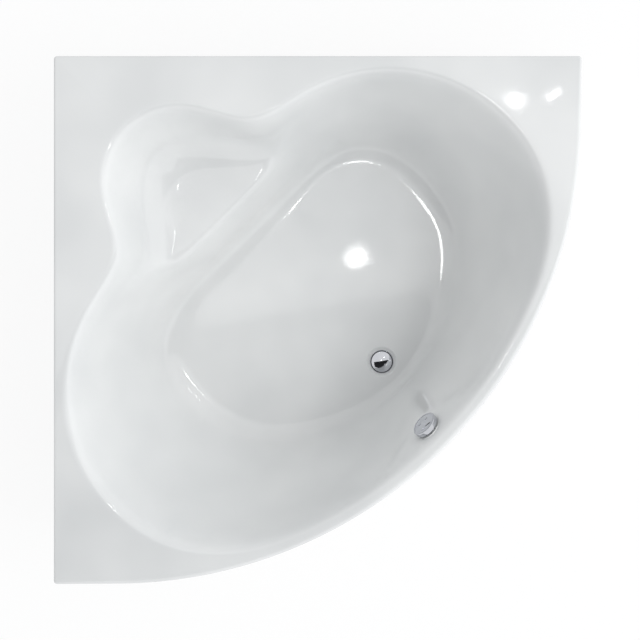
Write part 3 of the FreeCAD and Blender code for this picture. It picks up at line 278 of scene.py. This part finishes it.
def basis(parameter, knots, count):
    """Cubic B-spline weights of all control points at one parameter."""
    weights = [1.0 if low <= parameter < high else 0.0 for low, high in zip(knots, knots[1:])]
    for degree in (1, 2, 3):
        for index in range(len(knots) - degree - 1):
            left = knots[index + degree] - knots[index]
            right = knots[index + degree + 1] - knots[index + 1]
            value = 0.0
            if left > 0:
                value += (parameter - knots[index]) / left * weights[index]
            if right > 0:
                value += (knots[index + degree + 1] - parameter) / right * weights[index + 1]
            weights[index] = value
    return weights[:count]


def basin_grid():
    """Points and upward normals of the inner face, rows from the rim to the floor."""
    net = []
    for index in range(COLUMNS):
        even = 2 * math.pi * index / COLUMNS
        net.append(column(even - COLUMN_CROWDING * math.sin(2 * even) / 2))
    net = np.array(net)
    rows = net.shape[1]

    round_knots = list(range(COLUMNS + 7))
    closed = np.concatenate([net, net[:3]])
    spans = rows - 3
    down_knots = [0] * 3 + list(range(spans + 1)) + [spans] * 3
    round_weights = np.array([basis(3 + index / FACES_PER_COLUMN, round_knots, COLUMNS + 3)
                              for index in range(COLUMNS * FACES_PER_COLUMN)])
    levels = [min(index / FACES_PER_ROW, spans - TINY)
              for index in range(spans * FACES_PER_ROW + 1)]
    down_weights = np.array([basis(level, down_knots, rows) for level in levels])
    points = np.einsum("ui,vj,ijk->vuk", round_weights, down_weights, closed)

    around = np.roll(points, -1, axis=1) - np.roll(points, 1, axis=1)
    down = np.gradient(points, axis=0)
    normals = np.cross(down, around)
    normals /= np.linalg.norm(normals, axis=2, keepdims=True)
    return points, normals * np.sign(normals[:, :, 2:])


def to_world(point):
    """Point of the frame, in metres, from (out, across, height)."""
    out, across, height = point
    root = math.sqrt(2)
    return Vector(((out + across) / root - HALF, HALF - (out - across) / root, height)) * MM


# ---------------------------------------------------------------- mesh helpers

def linked_object(name, mesh):
    """Object from a bmesh, linked to the scene."""
    data = bpy.data.meshes.new(name)
    mesh.to_mesh(data)
    mesh.free()
    item = bpy.data.objects.new(name, data)
    bpy.context.scene.collection.objects.link(item)
    return item


def outward(mesh):
    """The same bmesh with its faces turned outward."""
    bmesh.ops.recalc_face_normals(mesh, faces=mesh.faces)
    return mesh


def add_ring(mesh, points):
    return [mesh.verts.new(point) for point in points]


def bridge(mesh, first, second):
    """Quads between two closed rings of equal count."""
    count = len(first)
    for index in range(count):
        after = (index + 1) % count
        mesh.faces.new((first[index], first[after], second[after], second[index]))


def fill_between(mesh, outer, inner):
    """Flat faces between two closed rings of any counts."""
    edges = []
    for ring in (outer, inner):
        for index, vertex in enumerate(ring):
            pair = (vertex, ring[(index + 1) % len(ring)])
            edges.append(mesh.edges.get(pair) or mesh.edges.new(pair))
    bmesh.ops.triangle_fill(mesh, use_beauty=True, edges=edges)


def turned(profile, placement):
    """Closed bmesh turned about the placement's Z from (radius, height) corners."""
    mesh = bmesh.new()
    rings = []
    for radius, height in profile:
        ring = []
        for index in range(TURNED_FACES):
            angle = 2 * math.pi * index / TURNED_FACES
            local = Vector((radius * math.cos(angle), radius * math.sin(angle), height)) * MM
            ring.append(placement @ local)
        rings.append(add_ring(mesh, ring))
    for first, second in zip(rings, rings[1:]):
        bridge(mesh, first, second)
    mesh.faces.new(rings[0])
    mesh.faces.new(rings[-1])
    return mesh


def combine(piece, tool, operation):
    """Apply a boolean of a tool object and drop the tool."""
    modifier = piece.modifiers.new("combine", "BOOLEAN")
    modifier.operation = operation
    modifier.object = tool
    modifier.solver = "EXACT"
    bpy.context.view_layer.update()
    graph = bpy.context.evaluated_depsgraph_get()
    data = bpy.data.meshes.new_from_object(piece.evaluated_get(graph))
    piece.modifiers.clear()
    old, piece.data = piece.data, data
    bpy.data.meshes.remove(old)
    bpy.data.objects.remove(tool)


# ---------------------------------------------------------------- tub shell

def rim_ring(inset, height, bow_inset=None, bow_height=None):
    """Rim outline at an inset and a height, which may differ along the bow."""
    bow_inset = inset if bow_inset is None else bow_inset
    bow_height = height if bow_height is None else bow_height
    radius = max(CORNER_RADIUS - inset, 0.5)
    corners = [((inset + radius, inset + radius), 180, 270),
               ((SIDE - inset - radius, inset + radius), 270, 360)]
    ring = []
    for (along, side), start, end in corners:
        for index in range(CORNER_FACES + 1):
            turn = math.radians(start + (end - start) * index / CORNER_FACES)
            ring.append((along + radius * math.cos(turn), side + radius * math.sin(turn), height))
    bow = BOW_RADIUS - bow_inset
    for index in range(BOW_FACES + 1):
        turn = math.pi / 2 * index / BOW_FACES
        ring.append((BOW_START + bow * math.cos(turn), BOW_START + bow * math.sin(turn),
                     bow_height))
    for index in range(CORNER_FACES + 1):
        turn = math.radians(90 + 90 * index / CORNER_FACES)
        ring.append((inset + radius + radius * math.cos(turn),
                     SIDE - inset - radius + radius * math.sin(turn), height))
    return [Vector((along - HALF, HALF - side, level)) * MM for along, side, level in ring]


def rounded(run, drop, inset, level):
    """(inset, height) along a quarter round that leaves the deck and turns down."""
    turns = [math.pi / 2 * index / EDGE_FACES for index in range(EDGE_FACES + 1)]
    return [(inset + run * (1 - math.sin(turn)), level - drop * (1 - math.cos(turn)))
            for turn in turns]


def skin_back(points, normals):
    """Back of the skin: full thickness in the basin, the sheet's own under the rim."""
    depth = RIM - points[:, :, 2:]
    share = np.clip(depth / SKIN_FULL_DEPTH, 0, 1)
    thick = SHEET + (SKIN - SHEET) * share
    back = points - normals * thick
    back[:, :, 2] = np.minimum(back[:, :, 2], RIM - SHEET)
    return back


def make_shell(seat):
    """Rim tray and basin with their back, bored for waste and overflow."""
    points, normals = basin_grid()
    mesh = bmesh.new()
    inner = [add_ring(mesh, [to_world(point) for point in row]) for row in points]
    outer = [add_ring(mesh, [to_world(point) for point in row])
             for row in skin_back(points, normals)]
    for row in range(len(points) - 1):
        bridge(mesh, inner[row], inner[row + 1])
        bridge(mesh, outer[row], outer[row + 1])
    mesh.faces.new(inner[-1])
    mesh.faces.new(outer[-1])

    bottom = RIM - SKIRT_DROP
    wall_side = rounded(EDGE_RADIUS, EDGE_RADIUS, 0, RIM)
    front = rounded(FRONT_ROLL, FRONT_DROP, 0, RIM)
    outside = [(*wall, *bow) for wall, bow in zip(wall_side, front)] + [(0, bottom)]
    turn_in = EDGE_RADIUS - SHEET
    inside = [(SHEET, bottom)] + rounded(turn_in, turn_in, SHEET, RIM - SHEET)[::-1]
    rings = [add_ring(mesh, rim_ring(*place)) for place in outside + inside]
    for first, second in zip(rings, rings[1:]):
        bridge(mesh, first, second)
    fill_between(mesh, rings[0], inner[0])
    fill_between(mesh, rings[-1], outer[0])

    shell = linked_object("tub_shell_skin", outward(mesh))
    for face in shell.data.polygons:
        face.use_smooth = True
    shell.data.set_sharp_from_angle(angle=SHARP_ANGLE)
    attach(shell, "bath")
    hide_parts("tub_shell")

    drain = Matrix.Translation(to_world((DRAIN_OUT, 0, RIM - DEPTH - RECESS_DEPTH)))
    waste_boss = [(BOSS_RADIUS, -BOSS_DROP), (BOSS_RADIUS, BOSS_TOP)]
    overflow_boss = [(OVERFLOW_BOSS, -OVERFLOW_BOSS_LENGTH), (OVERFLOW_BOSS, OVERFLOW_BOSS_TOP)]
    soft = RECESS_SOFTNESS
    waste_cut = [(WASTE_HOLE, CUT_BOTTOM), (WASTE_HOLE, 0), (RECESS_FLAT, 0),
                 (RECESS_FLAT + soft, soft / 2), (RECESS_RADIUS - soft, RECESS_DEPTH - soft),
                 (RECESS_RADIUS + soft, RECESS_DEPTH + soft / 2),
                 (RECESS_RADIUS + WASTE_CUT_FLARE, WASTE_CUT_TOP)]
    overflow_cut = [(OVERFLOW_HOLE, CUT_BOTTOM), (OVERFLOW_HOLE, 0), (OVERFLOW_SEAT, 0),
                    (OVERFLOW_SEAT, OVERFLOW_CUT_TOP)]
    steps = ((waste_boss, drain, "UNION"), (overflow_boss, seat, "UNION"),
             (waste_cut, drain, "DIFFERENCE"), (overflow_cut, seat, "DIFFERENCE"))
    for profile, placement, operation in steps:
        combine(shell, linked_object("tool", outward(turned(profile, placement))), operation)
    return shell


# ---------------------------------------------------------------- materials

class Surface:
    """Principled material with procedural tone, gloss and relief."""

    def __init__(self, name, color, roughness, metallic=0.0):
        self.name = name
        self.material = bpy.data.materials.new(name)
        self.material.use_nodes = True
        self.tree = self.material.node_tree
        self.shader = self.tree.nodes["Principled BSDF"]
        self.shader.inputs["Base Color"].default_value = (*color, 1)
        self.shader.inputs["Roughness"].default_value = roughness
        self.shader.inputs["Metallic"].default_value = metallic
        self.color = color
        self.place = self.node("ShaderNodeTexCoord").outputs["Object"]
        self.normal = None

    def node(self, kind, **inputs):
        item = self.tree.nodes.new(kind)
        for name, value in inputs.items():
            socket = item.inputs[name.replace("_", " ")]
            if isinstance(value, bpy.types.NodeSocket):
                self.tree.links.new(value, socket)
            else:
                socket.default_value = value
        return item

    def noise(self, scale, detail=4):
        noise = self.node("ShaderNodeTexNoise", Vector=self.place, Scale=scale, Detail=detail)
        return noise.outputs[0]

    def cells(self, scale, output, stretch=(1, 1, 1)):
        place = self.node("ShaderNodeMapping", Vector=self.place, Scale=stretch).outputs["Vector"]
        return self.node("ShaderNodeTexVoronoi", Vector=place, Scale=scale).outputs[output]

    def spread(self, field, low, high):
        """A field squeezed between two values."""
        ranged = self.node("ShaderNodeMapRange", Value=field)
        ranged.inputs["From Min"].default_value = 0.3
        ranged.inputs["From Max"].default_value = 0.7
        ranged.inputs["To Min"].default_value = low
        ranged.inputs["To Max"].default_value = high
        return ranged.outputs["Result"]

    def tone(self, field, other):
        """Colour drifts toward another one with a field."""
        mix = self.tree.nodes.new("ShaderNodeMix")
        mix.data_type = "RGBA"
        colors = [socket for socket in mix.inputs if socket.type == "RGBA"]
        colors[0].default_value = (*self.color, 1)
        colors[1].default_value = (*other, 1)
        self.tree.links.new(self.spread(field, 0, 1), mix.inputs[0])
        result = [socket for socket in mix.outputs if socket.type == "RGBA"][0]
        self.tree.links.new(result, self.shader.inputs["Base Color"])
        return self

    def gloss(self, field, low, high):
        self.tree.links.new(self.spread(field, low, high), self.shader.inputs["Roughness"])
        return self

    def relief(self, field, depth, strength):
        """Bump of a real depth in metres, laid over any earlier one."""
        bump = self.node("ShaderNodeBump", Height=field, Strength=strength, Distance=depth)
        if self.normal:
            self.tree.links.new(self.normal, bump.inputs["Normal"])
        self.normal = bump.outputs["Normal"]
        self.tree.links.new(self.normal, self.shader.inputs["Normal"])
        return self

    def set(self, **values):
        for name, value in values.items():
            self.shader.inputs[name.replace("_", " ")].default_value = value
        return self


def make_materials():
    acrylic = Surface("acrylic", (0.892, 0.898, 0.892), 0.1)
    acrylic.set(IOR=1.49, Coat_Weight=0.3, Coat_Roughness=0.04)
    acrylic.tone(acrylic.noise(3, 2), (0.786, 0.796, 0.795))
    acrylic.gloss(acrylic.noise(14), 0.05, 0.09)
    acrylic.relief(acrylic.noise(9, 2), 0.0012, 0.12)
    acrylic.relief(acrylic.noise(80, 2), 0.0004, 0.28)

    zinc = Surface("galvanised", (0.58, 0.60, 0.62), 0.36, 0.85)
    zinc.tone(zinc.cells(110, "Color"), (0.46, 0.48, 0.51))
    zinc.gloss(zinc.cells(110, "Color"), 0.28, 0.5)
    zinc.relief(zinc.noise(300), 0.0002, 0.4)

    chrome = Surface("chrome", (0.60, 0.61, 0.64), 0.05, 1.0)
    chrome.tone(chrome.noise(60, 2), (0.56, 0.57, 0.61))
    chrome.gloss(chrome.noise(90), 0.03, 0.08)
    chrome.relief(chrome.noise(70, 2), 0.0002, 0.15)

    board = Surface("board", (0.50, 0.36, 0.21), 0.75)
    board.tone(board.cells(260, "Color", (1, 0.45, 1)), (0.34, 0.23, 0.12))
    board.gloss(board.noise(120), 0.6, 0.85)
    board.relief(board.cells(260, "Distance", (1, 0.45, 1)), 0.0006, 0.6)

    rubber = Surface("rubber", (0.025, 0.025, 0.026), 0.7)
    rubber.tone(rubber.noise(180), (0.045, 0.045, 0.047))
    rubber.gloss(rubber.noise(240), 0.6, 0.8)
    rubber.relief(rubber.noise(900), 0.0001, 0.5)

    white = Surface("white_plastic", (0.74, 0.75, 0.74), 0.35)
    white.tone(white.noise(25, 2), (0.70, 0.71, 0.70))
    white.gloss(white.noise(140), 0.28, 0.42)
    white.relief(white.noise(1200), 0.00006, 0.5)

    grey = Surface("grey_plastic", (0.30, 0.31, 0.33), 0.45)
    grey.tone(grey.noise(40, 2), (0.25, 0.26, 0.28))
    grey.gloss(grey.noise(160), 0.38, 0.55)
    grey.relief(grey.noise(900), 0.0001, 0.5)

    black = Surface("black_plastic", (0.022, 0.022, 0.024), 0.45)
    black.tone(black.noise(60, 2), (0.034, 0.034, 0.036))
    black.gloss(black.noise(200), 0.38, 0.55)
    black.relief(black.noise(1000), 0.0001, 0.5)

    brass = Surface("brass", (0.62, 0.46, 0.22), 0.3, 1.0)
    brass.tone(brass.noise(90), (0.52, 0.38, 0.19))
    brass.gloss(brass.noise(220), 0.22, 0.42)
    brass.relief(brass.noise(500), 0.00008, 0.4)

    made = [acrylic, zinc, chrome, board, rubber, white, grey, black, brass]
    return {surface.name: surface.material for surface in made}


# ---------------------------------------------------------------- stage, lights, camera

def add_node(tree, kind, *sources, **settings):
    """Node whose first sockets take the sources, each an output or a value."""
    item = tree.nodes.new(kind)
    for name, value in settings.items():
        setattr(item, name, value)
    for socket, source in zip(item.inputs, sources):
        if isinstance(source, bpy.types.NodeSocket):
            tree.links.new(source, socket)
        else:
            socket.default_value = source
    return item


def backdrop_rays(tree):
    """1 for the rays that show the white background, and 0 for those that light."""
    rays = tree.nodes.new("ShaderNodeLightPath").outputs
    seen = rays["Is Camera Ray"]
    for other in ("Is Glossy Ray", "Is Transmission Ray"):
        seen = add_node(tree, "ShaderNodeMath", seen, rays[other], operation="MAXIMUM").outputs[0]
    return seen


def make_floor():
    """White floor that keeps a light shadow of the bath."""
    mesh = bmesh.new()
    bmesh.ops.create_grid(mesh, x_segments=1, y_segments=1, size=30)
    floor = linked_object("floor", mesh)

    material = bpy.data.materials.new("floor")
    material.use_nodes = True
    tree = material.node_tree
    shader = tree.nodes["Principled BSDF"]
    shader.inputs["Base Color"].default_value = (0.8, 0.8, 0.8, 1)
    shader.inputs["Roughness"].default_value = 0.9
    glow = add_node(tree, "ShaderNodeEmission", (1, 1, 1, 1), FLOOR_WHITE)
    share = add_node(tree, "ShaderNodeMath", backdrop_rays(tree), FLOOR_WHITE_SHARE,
                     operation="MULTIPLY")
    mix = add_node(tree, "ShaderNodeMixShader", share.outputs[0], shader.outputs[0],
                   glow.outputs[0])
    tree.links.new(mix.outputs[0], tree.nodes["Material Output"].inputs["Surface"])
    floor.data.materials.append(material)


def make_world():
    """White studio that lights the bath more from one side and from low down."""
    world = bpy.data.worlds.new("studio")
    bpy.context.scene.world = world
    world.use_nodes = True
    tree = world.node_tree
    direction = tree.nodes.new("ShaderNodeTexCoord").outputs["Generated"]

    def graded(axis, start, end, low, high):
        """Smooth rise from low to high as the direction turns toward an axis."""
        toward = add_node(tree, "ShaderNodeVectorMath", direction, axis,
                          operation="DOT_PRODUCT").outputs["Value"]
        return add_node(tree, "ShaderNodeMapRange", toward, start, end, low, high,
                        interpolation_type="SMOOTHSTEP").outputs["Result"]

    sideways = graded(BRIGHT_SIDE, -1, 1, WORLD_LEVEL * (1 - WORLD_SLANT),
                      WORLD_LEVEL * (1 + WORLD_SLANT))
    upward = graded(UP, HORIZON_HEIGHT, 1, HORIZON_SHARE, ZENITH_SHARE)
    strength = add_node(tree, "ShaderNodeMath", sideways, upward, operation="MULTIPLY")
    fill = add_node(tree, "ShaderNodeBackground", (0.97, 0.985, 1.0, 1), strength.outputs[0])
    white = add_node(tree, "ShaderNodeBackground", (1, 1, 1, 1), 1.0)
    shown = add_node(tree, "ShaderNodeMixShader", backdrop_rays(tree), fill.outputs[0],
                     white.outputs[0])
    tree.links.new(shown.outputs[0], tree.nodes["World Output"].inputs["Surface"])


def area_light(name, place, aim, size, power, glint):
    """A lamp that either gives a glint in smooth surfaces, or lights the bath without one."""
    data = bpy.data.lights.new(name, "AREA")
    data.shape = "RECTANGLE"
    data.size, data.size_y = size
    data.energy = power
    lamp = bpy.data.objects.new(name, data)
    lamp.visible_glossy = glint
    lamp.visible_diffuse = not glint
    lamp.location = place
    lamp.rotation_mode = "QUATERNION"
    lamp.rotation_quaternion = (Vector(aim) - Vector(place)).to_track_quat("-Z", "Y")
    bpy.context.scene.collection.objects.link(lamp)


def make_card():
    """A photographer's black card over the bath, which only smooth surfaces show."""
    mesh = bmesh.new()
    mesh.faces.new([mesh.verts.new((x, y, CARD_HEIGHT)) for x, y in CARD_CORNERS])
    card = linked_object("black_card", mesh)
    cloth = Surface("black_cloth", (0.012, 0.012, 0.014), 0.9)
    cloth.tone(cloth.noise(6), (0.02, 0.02, 0.022))
    cloth.gloss(cloth.noise(40), 0.8, 0.95)
    cloth.relief(cloth.noise(300, 2), 0.0005, 0.5)
    card.data.materials.append(cloth.material)
    card.visible_camera = False
    card.visible_diffuse = False
    card.visible_transmission = False
    card.visible_shadow = False


def make_camera():
    """Camera straight above, off to one side, with the tub brought back by lens shift."""
    across, up = CAMERA_PLACE
    data = bpy.data.cameras.new("camera")
    data.sensor_width = 36
    data.lens = FOCAL_PIXELS / PICTURE * data.sensor_width
    scale = FOCAL_PIXELS / CAMERA_OVER_RIM
    data.shift_x = (PICTURE / 2 - across * scale - TUB_PIXEL[0]) / PICTURE
    data.shift_y = (TUB_PIXEL[1] - PICTURE / 2 - up * scale) / PICTURE
    camera = bpy.data.objects.new("camera", data)
    camera.location = (across, up, RIM * MM + CAMERA_OVER_RIM)
    bpy.context.scene.collection.objects.link(camera)
    bpy.context.scene.camera = camera


def knob_seat():
    """Placement of the overflow on the wall, from the knob's joint."""
    joint = [item for item in frame["joints"] if item["name"] == "knob_turn"][0]
    normal = Vector(joint["axis"]).normalized()
    across = Vector((0, 0, 1)).cross(normal).normalized()
    turn = Matrix((across, normal.cross(across), normal)).transposed().to_4x4()
    return Matrix.Translation(Vector(joint["pos_m"])) @ turn


def main():
    materials = make_materials()
    for part in frame["record"]["subparts"]:
        node = frame["nodes"][part["node"]]
        node.data.materials.clear()
        node.data.materials.append(materials[part["material_slot"]])
    shell = make_shell(knob_seat())
    shell.data.materials.append(materials["acrylic"])

    make_floor()
    make_world()
    for name, lamp in LAMPS.items():
        area_light(name, *lamp)
    make_card()
    make_camera()
    bpy.context.scene.view_settings.view_transform = "Standard"


main()
